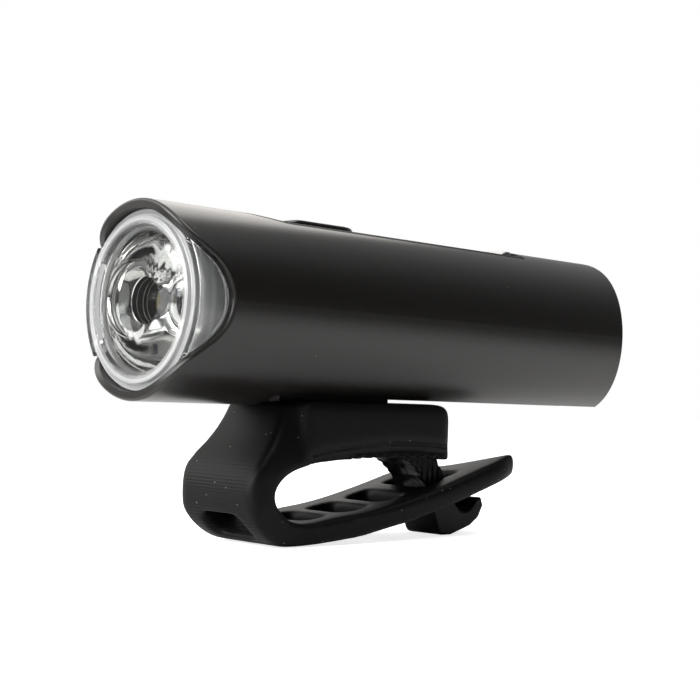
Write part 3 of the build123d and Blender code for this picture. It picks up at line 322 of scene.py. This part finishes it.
# sleeve in the collimator's recess: painted shade on its wall and painted highlight rings
sleeve = make_sleeve("recess_sleeve_painted_shade")
dome_clear = make_clear("clear_silicone", (0.99, 0.97, 0.9), (0.02, 0.05), SILICONE_IOR)
phosphor = make_surface("phosphor", (0.8, 0.62, 0.12), (0.9, 0.78, 0.25), (0.5, 0.7), 8.0)
board_white = make_surface("board_white", (0.72, 0.72, 0.7), (0.82, 0.82, 0.8), (0.3, 0.45), 4.0)
bare_aluminium = make_surface(
    "bare_aluminium", (0.6, 0.6, 0.61), (0.75, 0.75, 0.76), (0.25, 0.4), 6.0, metallic=1.0,
)
black_plastic = make_surface(
    "black_plastic", (0.009, 0.009, 0.009), (0.014, 0.0135, 0.013), (0.38, 0.5), 5.0,
    fine=(0.35, 0.02), specks=(0.5, 0.03, (0.2, 0.19, 0.17)),
)
holder_black = make_surface(
    "holder_black", (0.01, 0.01, 0.01), (0.016, 0.016, 0.016), (0.3, 0.42), 5.0,
)
rubber_seal = make_surface(
    "rubber_seal", (0.012, 0.012, 0.012), (0.02, 0.02, 0.02), (0.55, 0.7), 6.0, fine=(0.3, 0.02),
)
steel = make_surface("steel", (0.5, 0.49, 0.47), (0.66, 0.65, 0.63), (0.22, 0.36), 9.0, metallic=1.0)
cell_wrap = make_surface(
    "cell_wrap", (0.05, 0.16, 0.3), (0.07, 0.2, 0.36), (0.16, 0.26), 2.0, coat=(0.5, 0.1),
)
board_green = make_surface(
    "board_green", (0.01, 0.09, 0.045), (0.02, 0.14, 0.07), (0.25, 0.35), 3.0, coat=(0.4, 0.15),
)
component_black = make_surface(
    "component_black", (0.02, 0.02, 0.02), (0.04, 0.04, 0.04), (0.4, 0.55), 6.0,
)
plunger_plastic = make_surface(
    "plunger_plastic", (0.5, 0.45, 0.4), (0.6, 0.55, 0.5), (0.35, 0.5), 6.0,
)
glow_ring = make_surface(
    "glow_ring", (0.55, 0.58, 0.6), (0.7, 0.73, 0.75), (0.25, 0.35), 5.0, coat=(0.5, 0.1),
)
gloss_black = make_surface(
    "gloss_black", (0.008, 0.008, 0.008), (0.012, 0.012, 0.012), (0.12, 0.2), 3.0,
    fine=(0.05, 0.01), specks=(0.6, 0.03, (0.2, 0.19, 0.17)),
)
lip_rubber = make_surface(
    "lip_rubber", (0.1, 0.1, 0.105), (0.14, 0.14, 0.145), (0.16, 0.26), 6.0,
    fine=(0.1, 0.01), specks=(0.6, 0.03, (0.4, 0.38, 0.34)),
)
key_nylon = make_surface(
    "key_nylon", (0.011, 0.011, 0.011), (0.018, 0.018, 0.018), (0.34, 0.48), 5.0, fine=(0.3, 0.02),
)
strip_black = make_surface(
    "strip_black", (0.004, 0.004, 0.004), (0.007, 0.007, 0.007), (0.5, 0.6), 5.0,
    fine=(0.2, 0.01), specular=0.06,
)
silicone = make_surface(
    "silicone", (0.0022, 0.002, 0.0022), (0.0045, 0.004, 0.0042), (0.4, 0.52), 4.5,
    fine=(0.35, 0.025), patch_scale=0.4, specks=(1.0, 0.09, (0.3, 0.26, 0.2)), specular=0.13,
)
add_ribs(silicone)
hook_nylon = make_surface(
    "hook_nylon", (0.002, 0.002, 0.002), (0.004, 0.0037, 0.0037), (0.26, 0.4), 3.0,
    fine=(0.4, 0.03), specular=0.16,
)

finishes = {
    anodised: ["body_shell"],
    clear: ["front_lens"],
    optic: ["collimator_lens"],
    dome_clear: ["led_dome"],
    phosphor: ["led_package"],
    board_white: ["led_board"],
    bare_aluminium: ["heat_sink"],
    black_plastic: ["battery_cradle", "rear_cap"],
    strip_black: ["top_strip"],
    holder_black: ["collimator_holder"],
    rubber_seal: ["lens_seal", "rear_seal", "front_pad", "rear_pad"],
    steel: ["board_screws", "rear_screws", "rail_screws", "usb_socket", "battery_tabs"],
    cell_wrap: ["battery_cell"],
    board_green: ["driver_board"],
    component_black: ["driver_coil", "driver_chips", "tactile_switch", "usb_tongue"],
    plunger_plastic: ["switch_plunger"],
    glow_ring: ["light_ring"],
    gloss_black: ["power_button"],
    lip_rubber: ["usb_cover"],
    key_nylon: ["rail_key"],
    hook_nylon: ["strap_hook"],
    silicone: ["strap", "bracket_core"],
}
for material, names in finishes.items():
    for name in names:
        piece = nodes[name]
        piece.data.materials.clear()
        piece.data.materials.append(material)

# Measures of the soft mouldings and the collimator, in millimetres

STRAP_HALF = 10.2
BLOCK_HALF = 9.6
PAD_START = 50.0
PAD_REAR = 65.5
PAD_TOP = 18.4
PAD_CROWN = 14.8  # height of the pad's underside at its start
PAD_FALL = 0.0026  # drop per square millimetre behind the start
PAD_STEPS = 150
TOOTH_START = 40.25
TOOTH_PITCH = 2.585
TOOTH_RADIUS = 0.55
TOOTH_REACH = 1.1  # height about the teeth within which they are smoothed less
TOOTH_SOFTNESS = 0.07
SEAM_START = 30.0
SEAM_INSET = 8.8
SEAM_HEIGHT = 17.2
SEAM_MIDDLE = 52.0
SEAM_FALL = 0.0042  # drop per square millimetre from the middle
SEAM_DEPTH = 0.3
SEAM_WIDTH = 0.3
HOLLOW_DEPTH = 0.28
HOLLOW_WIDTH = 0.8
HOLLOW_BELOW = 1.3  # from the seam down to the hollow's middle
TAB_START = 75.0
TAB_TAPER = 12.0
TAB_POWER = 2.6
TAB_CORNER = 4.0
TAB_END = 85.5
TAB_ROLL = 3.6  # fall of the tab's far edge
BRIDGE = [(57.4, 8.3), (61.6, 9.45), (61.6, 5.1), (57.4, 3.95)]
HOOK_SLOT = (61.6, 71.8)
HOOK_SLOT_HEIGHTS = (3.0, 13.6)
HOOK_HALF = 4.4
HOOK_GAP = 0.5
HOOK_OUTLINE = [
    (56.8, 15.4), (57.2, 14.6), (60.0, 13.3), (62.6, 11.2), (64.0, 9.0), (65.6, 5.4),
    (67.0, 2.2), (67.6, 0.6), (68.4, 0.0), (71.0, 0.0), (76.2, 1.5), (78.6, 3.0),
    (79.9, 5.3), (79.2, 6.9), (78.0, 6.6), (76.6, 5.0), (75.0, 4.2), (73.4, 4.4),
    (72.0, 5.6), (71.0, 7.2), (68.9, 9.4), (68.4, 11.6), (67.0, 13.6), (65.4, 15.4),
]
HOOK_RIB_PITCH = 1.4
HOOK_RIB_DEPTH = 0.35
HOOK_ROUGH_START = 7.0  # height above which the hook is ribbed and uneven
LUMP_DEPTH = 0.14
LUMP_SCALE = 0.7
LIP_HEIGHT = 2.1
LIP_SHARE = 0.7  # share of its height that the port cover's lip keeps
OPTIC_FRONT = 3.05
OPTIC_RADIUS = 12.3
OPTIC_WALL = [(11.3, 4.25), (8.9, 10.6), (4.8, 15.5)]  # radius and place: rim, belly, tip
OPTIC_AXIS = 0.002  # radius of the innermost ring
WALL_STEPS = 48
RIPPLE_DEPTH = 0.035
RIPPLE_PITCH = 1.7
RIPPLE_COUNT = 22
RIPPLE_MIDDLE = math.radians(35)
RECESS_RADIUS = 3.8
RECESS_FLOOR = 8.3
RECESS_GAP = 0.3  # from the sleeve's floor to the recess's
SLEEVE_MOUTH = (3.68, 3.15)
SLEEVE_RADIUS = 3.6
WELL_RADIUS = 3.5
WELL_FLOOR = 9.6
WELL_DOME = 1.3
DOME_STEPS = 8
TURN_SEGMENTS = 240
WELD = 0.004


# Ways to make and change a piece

def part_place(place):
    """Across, along from the rim, and height, in millimetres."""
    return place.x / MM, (place.y - FRONT_Y) / MM, place.z / MM


def add_piece(name, mesh):
    """Object with a mesh, in the scene."""
    piece = bpy.data.objects.new(name, mesh)
    bpy.context.scene.collection.objects.link(piece)
    return piece


def copy_node(name, source, widen=1.0):
    """New object with a CAD node's mesh, widened across by a factor."""
    mesh = bpy.data.meshes.new(name)
    copy = bmesh.new()
    copy.from_mesh(nodes[source].data)
    bmesh.ops.remove_doubles(copy, verts=copy.verts, dist=0.001 * MM)
    for vertex in copy.verts:
        vertex.co.x *= widen
    copy.to_mesh(mesh)
    copy.free()
    return add_piece(name, mesh)


def outline_solid(name, outline, half_width):
    """Closed solid from an outline of (along, height), on both sides of the middle plane."""
    mesh = bpy.data.meshes.new(name)
    solid = bmesh.new()
    sides = [
        [
            solid.verts.new((side * half_width * MM, FRONT_Y + along * MM, height * MM))
            for along, height in outline
        ]
        for side in (-1, 1)
    ]
    for side in sides:
        solid.faces.new(side)
    near, far = sides
    count = len(outline)
    for index in range(count):
        following = (index + 1) % count
        solid.faces.new((near[index], near[following], far[following], far[index]))
    bmesh.ops.recalc_face_normals(solid, faces=solid.faces)
    bmesh.ops.triangulate(solid, faces=solid.faces)
    solid.to_mesh(mesh)
    solid.free()
    return add_piece(name, mesh)


def turned_ring(mesh, radius, along, ripple):
    """Ring of vertices about the tube's axis; a ripple varies its radius."""
    ring = []
    for segment in range(TURN_SEGMENTS):
        angle = 2 * math.pi * segment / TURN_SEGMENTS
        wide = radius + (ripple(angle, along) if ripple else 0)
        across = wide * math.cos(angle) * MM
        height = AXIS_Z + wide * math.sin(angle) * MM
        ring.append(mesh.verts.new((across, FRONT_Y + along * MM, height)))
    return ring


def turned_piece(name, runs):
    """Surface turned about the tube's axis.

    A run is a list of (radius, along), the number of its material and its ripple, or None.
    """
    mesh = bpy.data.meshes.new(name)
    turned = bmesh.new()
    for profile, number, ripple in runs:
        rings = [turned_ring(turned, radius, along, ripple) for radius, along in profile]
        for first, second in zip(rings, rings[1:]):
            for segment in range(TURN_SEGMENTS):
                following = (segment + 1) % TURN_SEGMENTS
                corners = (first[segment], first[following], second[following], second[segment])
                face = turned.faces.new(corners)
                face.material_index = number
                face.smooth = True
    bmesh.ops.remove_doubles(turned, verts=turned.verts, dist=WELD * MM)
    bmesh.ops.recalc_face_normals(turned, faces=turned.faces)
    turned.to_mesh(mesh)
    turned.free()
    return add_piece(name, mesh)


def apply_modifiers(piece):
    """Replaces the piece's mesh by the mesh that its modifiers make."""
    bpy.context.view_layer.update()
    graph = bpy.context.evaluated_depsgraph_get()
    mesh = bpy.data.meshes.new_from_object(piece.evaluated_get(graph))
    piece.modifiers.clear()
    piece.data = mesh


def cut(piece, cutter):
    """Takes the cutter out of the piece and deletes the cutter."""
    difference = piece.modifiers.new("cut", "BOOLEAN")
    difference.operation = "DIFFERENCE"
    difference.solver = "EXACT"
    difference.object = cutter
    apply_modifiers(piece)
    bpy.data.objects.remove(cutter)


def join_pieces(name, parts):
    """One new object with the meshes of the parts, which are deleted."""
    mesh = bpy.data.meshes.new(name)
    merged = bmesh.new()
    for part in parts:
        merged.from_mesh(part.data)
        bpy.data.objects.remove(part)
    merged.to_mesh(mesh)
    merged.free()
    return add_piece(name, mesh)


def soften(piece, voxel, rounds, softness=None):
    """One even skin over the piece, then smoothed; softness gives each place's share of that."""
    skin = piece.modifiers.new("skin", "REMESH")
    skin.mode = "VOXEL"
    skin.voxel_size = voxel * MM
    apply_modifiers(piece)
    group = piece.vertex_groups.new(name="soft")
    for vertex in piece.data.vertices:
        share = softness(*part_place(vertex.co)) if softness else 1.0
        group.add([vertex.index], share, "REPLACE")
    smooth = piece.modifiers.new("smooth", "SMOOTH")
    smooth.factor = 0.5
    smooth.iterations = rounds
    smooth.vertex_group = group.name
    apply_modifiers(piece)


def finish_piece(piece, material, body, slot, *replaced):
    """Gives a piece its shading and material, hides the parts it replaces and hangs it under its body."""
    for polygon in piece.data.polygons:
        polygon.use_smooth = True
    piece.data.materials.clear()
    piece.data.materials.append(material)
    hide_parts(*replaced)
    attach(piece, body)


# Strap with its block

def hill(value, width):
    """Smooth bump of height 1 at zero."""
    return math.exp(-((value / width) ** 2))


def tooth_depth(along):
    """Depth of the round notch across the pad at a place along it."""
    step = (along - TOOTH_START) / TOOTH_PITCH
    offset = (step - round(step)) * TOOTH_PITCH
    return math.sqrt(max(TOOTH_RADIUS ** 2 - offset ** 2, 0))


def pad_outline():
    """Middle of the pad behind its start, with the notches across its underside."""
    length = PAD_REAR - PAD_START
    places = [PAD_START + length * step / PAD_STEPS for step in range(PAD_STEPS + 1)]
    under = [
        (along, PAD_CROWN - PAD_FALL * (along - PAD_START) ** 2 + tooth_depth(along))
        for along in places
    ]
    return under + [(PAD_REAR, PAD_TOP), (PAD_START, PAD_TOP)]


def strap_softness(_, along, height):
    """Share of the smoothing, which is small on the teeth."""
    beside_teeth = TOOTH_START - 1 < along < PAD_REAR + 1
    return TOOTH_SOFTNESS if beside_teeth and abs(height - PAD_CROWN) < TOOTH_REACH else 1.0


def seam_depth(across, along, height):
    """Depth of the narrow seam along the block's sides and of the wide hollow below it."""
    if abs(across) <= SEAM_INSET or not SEAM_START < along < PAD_REAR + 1:
        return 0.0
    above = height - SEAM_HEIGHT + SEAM_FALL * (along - SEAM_MIDDLE) ** 2
    seam = SEAM_DEPTH * hill(above, SEAM_WIDTH)
    hollow = HOLLOW_DEPTH * hill(above + HOLLOW_BELOW, HOLLOW_WIDTH)
    return abs(seam - hollow)


def tab_share(along):
    """Share of its width that the tab keeps, which rounds its end in plan."""
    if along <= TAB_START:
        return 1.0
    taper = min((along - TAB_START) / TAB_TAPER, 0.99)
    wanted = STRAP_HALF * (1 - taper ** TAB_POWER) ** (1 / TAB_POWER)
    into_corner = min(max(along - TAB_END + TAB_CORNER, 0), TAB_CORNER)
    drawn = STRAP_HALF - TAB_CORNER + math.sqrt(TAB_CORNER ** 2 - into_corner ** 2)
    return min(1.0, wanted / drawn)


def tab_twist(across, along):
    """Fall of the tab towards its far side, growing from the block's rear to the tab's end."""
    share = min(max((along - PAD_REAR) / (TAB_END - PAD_REAR), 0), 1)
    return TAB_ROLL * share * share * (3 - 2 * share) * (STRAP_HALF - across) / (2 * STRAP_HALF)


def make_strap():
    """Strap, block and toothed pad under one skin, with a slot for the hook."""
    strap = copy_node("strap_copy", "strap")
    front, rear = HOOK_SLOT
    low, high = HOOK_SLOT_HEIGHTS
    opening = [(front, low), (rear, low), (rear, high), (front, high)]
    cut(strap, outline_solid("slot_cutter", opening, HOOK_HALF + HOOK_GAP))
    parts = [
        strap,
        copy_node("block_copy", "bracket_core", STRAP_HALF / BLOCK_HALF),
        outline_solid("bridge", BRIDGE, HOOK_HALF + 1),
        outline_solid("pad_middle", pad_outline(), HOOK_HALF + 1),
    ]
    piece = join_pieces("strap_moulding", parts)
    soften(piece, voxel=0.33, rounds=56, softness=strap_softness)
    for vertex in piece.data.vertices:
        across, along, height = part_place(vertex.co)
        vertex.co.z -= tab_twist(across, along) * MM
        vertex.co.x *= tab_share(along)
        vertex.co.x -= math.copysign(seam_depth(across, along, height) * MM, across)
    finish_piece(piece, silicone, "mount", "silicone", "strap", "bracket_core")


# Hook and port cover

def make_hook():
    """Hook with a ribbed, slightly uneven shank."""
    piece = outline_solid("hook", HOOK_OUTLINE, HOOK_HALF)
    soften(piece, voxel=0.18, rounds=8)
    for vertex in piece.data.vertices:
        across, along, height = part_place(vertex.co)
        if height > HOOK_ROUGH_START:
            lump = turbulence.noise(vertex.co / MM * LUMP_SCALE)
            vertex.co.y += LUMP_DEPTH * lump * MM
            if abs(across) > HOOK_HALF - 1:
                rib = HOOK_RIB_DEPTH * (0.5 + 0.5 * math.cos(2 * math.pi * along / HOOK_RIB_PITCH))
                vertex.co.x -= math.copysign(rib * MM, across)
    finish_piece(piece, hook_nylon, "mount", "key_nylon", "strap_hook")


def make_port_cover():
    """Port cover with rounded edges and a low lip."""
    piece = copy_node("port_flap", "usb_cover")
    soften(piece, voxel=0.16, rounds=16)
    lip_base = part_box("usb_cover")[1][2] - LIP_HEIGHT * MM
    for vertex in piece.data.vertices:
        if vertex.co.z > lip_base:
            vertex.co.z = lip_base + LIP_SHARE * (vertex.co.z - lip_base)
    finish_piece(piece, lip_rubber, "port_cover", "cover_rubber", "usb_cover")


# Collimator

def wall_profile():
    """Curve through the wall's rim, belly and tip."""
    (rim, start), (belly, middle), (tip, end) = OPTIC_WALL
    profile = []
    for step in range(WALL_STEPS + 1):
        along = start + (end - start) * step / WALL_STEPS
        radius = (
            rim * (along - middle) * (along - end) / ((start - middle) * (start - end))
            + belly * (along - start) * (along - end) / ((middle - start) * (middle - end))
            + tip * (along - start) * (along - middle) / ((end - start) * (end - middle))
        )
        profile.append((radius, along))
    return profile


def wall_ripple(angle, along):
    """Shallow facets on the upper and right part of the wall."""
    share = max(0.0, math.cos(angle - RIPPLE_MIDDLE)) ** 0.5
    wave = math.sin(RIPPLE_COUNT * angle) * math.sin(2 * math.pi * along / RIPPLE_PITCH)
    return RIPPLE_DEPTH * share * wave


def well_dome():
    """Domed floor of the rear well, from its edge to the axis."""
    profile = []
    for step in range(DOME_STEPS):
        share = step / DOME_STEPS
        profile.append((WELL_RADIUS * (1 - share), WELL_FLOOR + WELL_DOME * math.sin(math.pi / 2 * share)))
    return profile + [(OPTIC_AXIS, WELL_FLOOR + WELL_DOME)]


def make_optic_piece():
    """Collimator with a mirror-like wall, a rear well, and a sleeve with painted shade and painted
    highlight rings in its front recess.
    """
    clear_part, mirror_part, sleeve_part = range(3)
    rim, start = OPTIC_WALL[0]
    tip, end = OPTIC_WALL[-1]
    recess_end = RECESS_FLOOR + RECESS_GAP
    runs = [
        ([(RECESS_RADIUS, OPTIC_FRONT), (OPTIC_RADIUS, OPTIC_FRONT)], clear_part, None),
        ([(OPTIC_RADIUS, OPTIC_FRONT), (OPTIC_RADIUS, start), (rim, start)], clear_part, None),
        (wall_profile(), mirror_part, wall_ripple),
        ([(tip, end), (WELL_RADIUS, end)], clear_part, None),
        ([(WELL_RADIUS, end), (WELL_RADIUS, WELL_FLOOR)], mirror_part, None),
        (well_dome(), clear_part, None),
        ([(RECESS_RADIUS, OPTIC_FRONT), (RECESS_RADIUS, recess_end)], mirror_part, None),
        ([(RECESS_RADIUS, recess_end), (OPTIC_AXIS, recess_end)], clear_part, None),
        ([SLEEVE_MOUTH, (SLEEVE_RADIUS, RECESS_FLOOR)], sleeve_part, None),
        ([(SLEEVE_RADIUS, RECESS_FLOOR), (OPTIC_AXIS, RECESS_FLOOR)], sleeve_part, None),
    ]
    piece = turned_piece("collimator_optic", runs)
    for material in (optic, mirror, sleeve):
        piece.data.materials.append(material)
    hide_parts("collimator_lens")
    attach(piece, "light")


make_optic_piece()
make_strap()
make_hook()
make_port_cover()

# Floor, world, lights and camera, in metres

FLOOR_SIZE = 6
FLOOR_DROP = 0.00005
PART_MIDDLE = (0, 0, 0.03)
CARD_DIRECTION = (-0.73, -0.68, 0.04)  # where the cover's flat window mirrors the room
FRONT_STRENGTH = 2.2
CAMERA_PLACE = (179.87 * MM, FRONT_Y - 122.87 * MM, AXIS_Z - 15.02 * MM)
CAMERA_FORWARD = (-0.7260, 0.6867, 0.0380)
CAMERA_RIGHT = (0.6877, 0.7252, 0.0333)


def make_floor():
    """Paper floor that looks white, with a painted pool of light in its colour: it throws back less light
    further from the part.
    """
    bpy.ops.mesh.primitive_plane_add(size=FLOOR_SIZE, location=(0, 0, -FLOOR_DROP))
    floor = bpy.context.object
    floor.name = "floor"
    material, tree, shader = new_material("floor_paper")
    shader.inputs["Roughness"].default_value = 0.9
    shader.inputs["Specular IOR Level"].default_value = 0.1
    vector = object_coords(tree)
    reach = add_node(tree, "ShaderNodeVectorMath", operation="LENGTH")
    tree.links.new(vector, reach.inputs[0])
    away = product(tree, reach.outputs["Value"], MM)
    # painted light: a pool of light painted into the floor's colour, 0.86 near the part and 0.2 further
    # away
    painted_light_pool = ramp(tree, away, [(0.12, 0.86), (0.4, 0.2)])
    paper = spread(tree, noise(tree, vector, 0.2), 0.97, 1.0)
    tree.links.new(mix_colour(tree, 1.0, painted_light_pool, paper, "MULTIPLY"), shader.inputs["Base Color"])
    path = add_node(tree, "ShaderNodeLightPath")
    white = ramp(tree, away, [(0.12, 0.75), (0.3, 1.0)])
    shader.inputs["Emission Color"].default_value = (1, 1, 1, 1)
    tree.links.new(product(tree, path.outputs["Is Camera Ray"], white), shader.inputs["Emission Strength"])
    floor.data.materials.append(material)


def make_world():
    """White round the part; in reflections bright at the left, dark at the right, with a dark card."""
    world = bpy.data.worlds.new("studio")
    bpy.context.scene.world = world
    world.use_nodes = True
    tree = world.node_tree
    direction = add_node(tree, "ShaderNodeTexCoord").outputs["Generated"]
    split = add_node(tree, "ShaderNodeSeparateXYZ")
    tree.links.new(direction, split.inputs["Vector"])
    side = math_node(tree, "ADD", product(tree, split.outputs["X"], 0.5), 0.5)
    glow = ramp(
        tree, side,
        [(0.08, 0.75), (0.15, 0.6), (0.25, 0.4), (0.42, 0.4), (0.63, 0.2), (0.8, 0.04), (0.87, 0.02)],
    )
    ahead = ramp(tree, product(tree, split.outputs["Y"], -1.0), [(0.02, 0.0), (0.2, 0.85), (0.9, 1.0)])
    left = ramp(tree, side, [(0.5, 1.0), (0.8, 0.1)])
    panels = ramp(
        tree, noise(tree, direction, 2.6, 2.0, 0.5),
        [(0.4, (0.03, 0.04, 0.07)), (0.44, (0.5, 0.5, 0.52)), (0.47, (1.0, 0.97, 0.9)), (0.62, 1.0)],
    )
    front = add_node(tree, "ShaderNodeVectorMath", operation="SCALE")
    tree.links.new(panels, front.inputs[0])
    tree.links.new(product(tree, ahead, left, FRONT_STRENGTH), front.inputs["Scale"])
    card = add_node(tree, "ShaderNodeVectorMath", operation="DOT_PRODUCT")
    card.inputs[1].default_value = CARD_DIRECTION
    tree.links.new(direction, card.inputs[0])
    beside_card = ramp(tree, card.outputs["Value"], [(0.93, 1.0), (0.975, 0.05)])
    lit = mix_colour(tree, 1.0, glow, front.outputs["Vector"], "ADD")
    room = mix_colour(tree, 1.0, lit, beside_card, "MULTIPLY")
    path = add_node(tree, "ShaderNodeLightPath")
    seen = mix_colour(tree, path.outputs["Is Camera Ray"], room, (1.0, 1.0, 1.0))
    tree.links.new(seen, find_node(tree, "BACKGROUND").inputs["Color"])


def add_light(name, place, aim, size, power, colour=(1, 1, 1)):
    """Area light at a place, facing a point."""
    data = bpy.data.lights.new(name, "AREA")
    data.shape = "RECTANGLE"
    data.size, data.size_y = size
    data.energy = power
    data.color = colour
    light = bpy.data.objects.new(name, data)
    light.location = place
    direction = Vector(aim) - Vector(place)
    light.rotation_euler = direction.to_track_quat("-Z", "Y").to_euler()
    bpy.context.scene.collection.objects.link(light)


def make_camera():
    """Camera at the photograph's viewpoint, ahead of the part and to its right."""
    data = bpy.data.cameras.new("camera")
    data.lens = 70.74
    data.sensor_width = 36
    data.clip_start = 0.01
    camera = bpy.data.objects.new("camera", data)
    bpy.context.scene.collection.objects.link(camera)
    forward = Vector(CAMERA_FORWARD).normalized()
    up = Vector(CAMERA_RIGHT).normalized().cross(forward).normalized()
    right = forward.cross(up).normalized()
    turn = Matrix((right, up, -forward)).transposed().to_4x4()
    camera.matrix_world = Matrix.Translation(CAMERA_PLACE) @ turn
    bpy.context.scene.camera = camera


make_floor()
make_world()
add_light("key_over", (-0.55, 0.45, 0.75), PART_MIDDLE, (0.5, 0.9), 3.2, (1.0, 0.96, 0.91))
add_light("front_left", (-0.25, -0.75, 0.35), PART_MIDDLE, (0.6, 0.5), 6.0)
add_light("floor_wash", (0.3, 0.1, 0.9), (0.1, 0.05, 0), (0.5, 0.5), 4.0)
make_camera()
bpy.context.scene.view_settings.view_transform = "Standard"

bpy.context.view_layer.update()
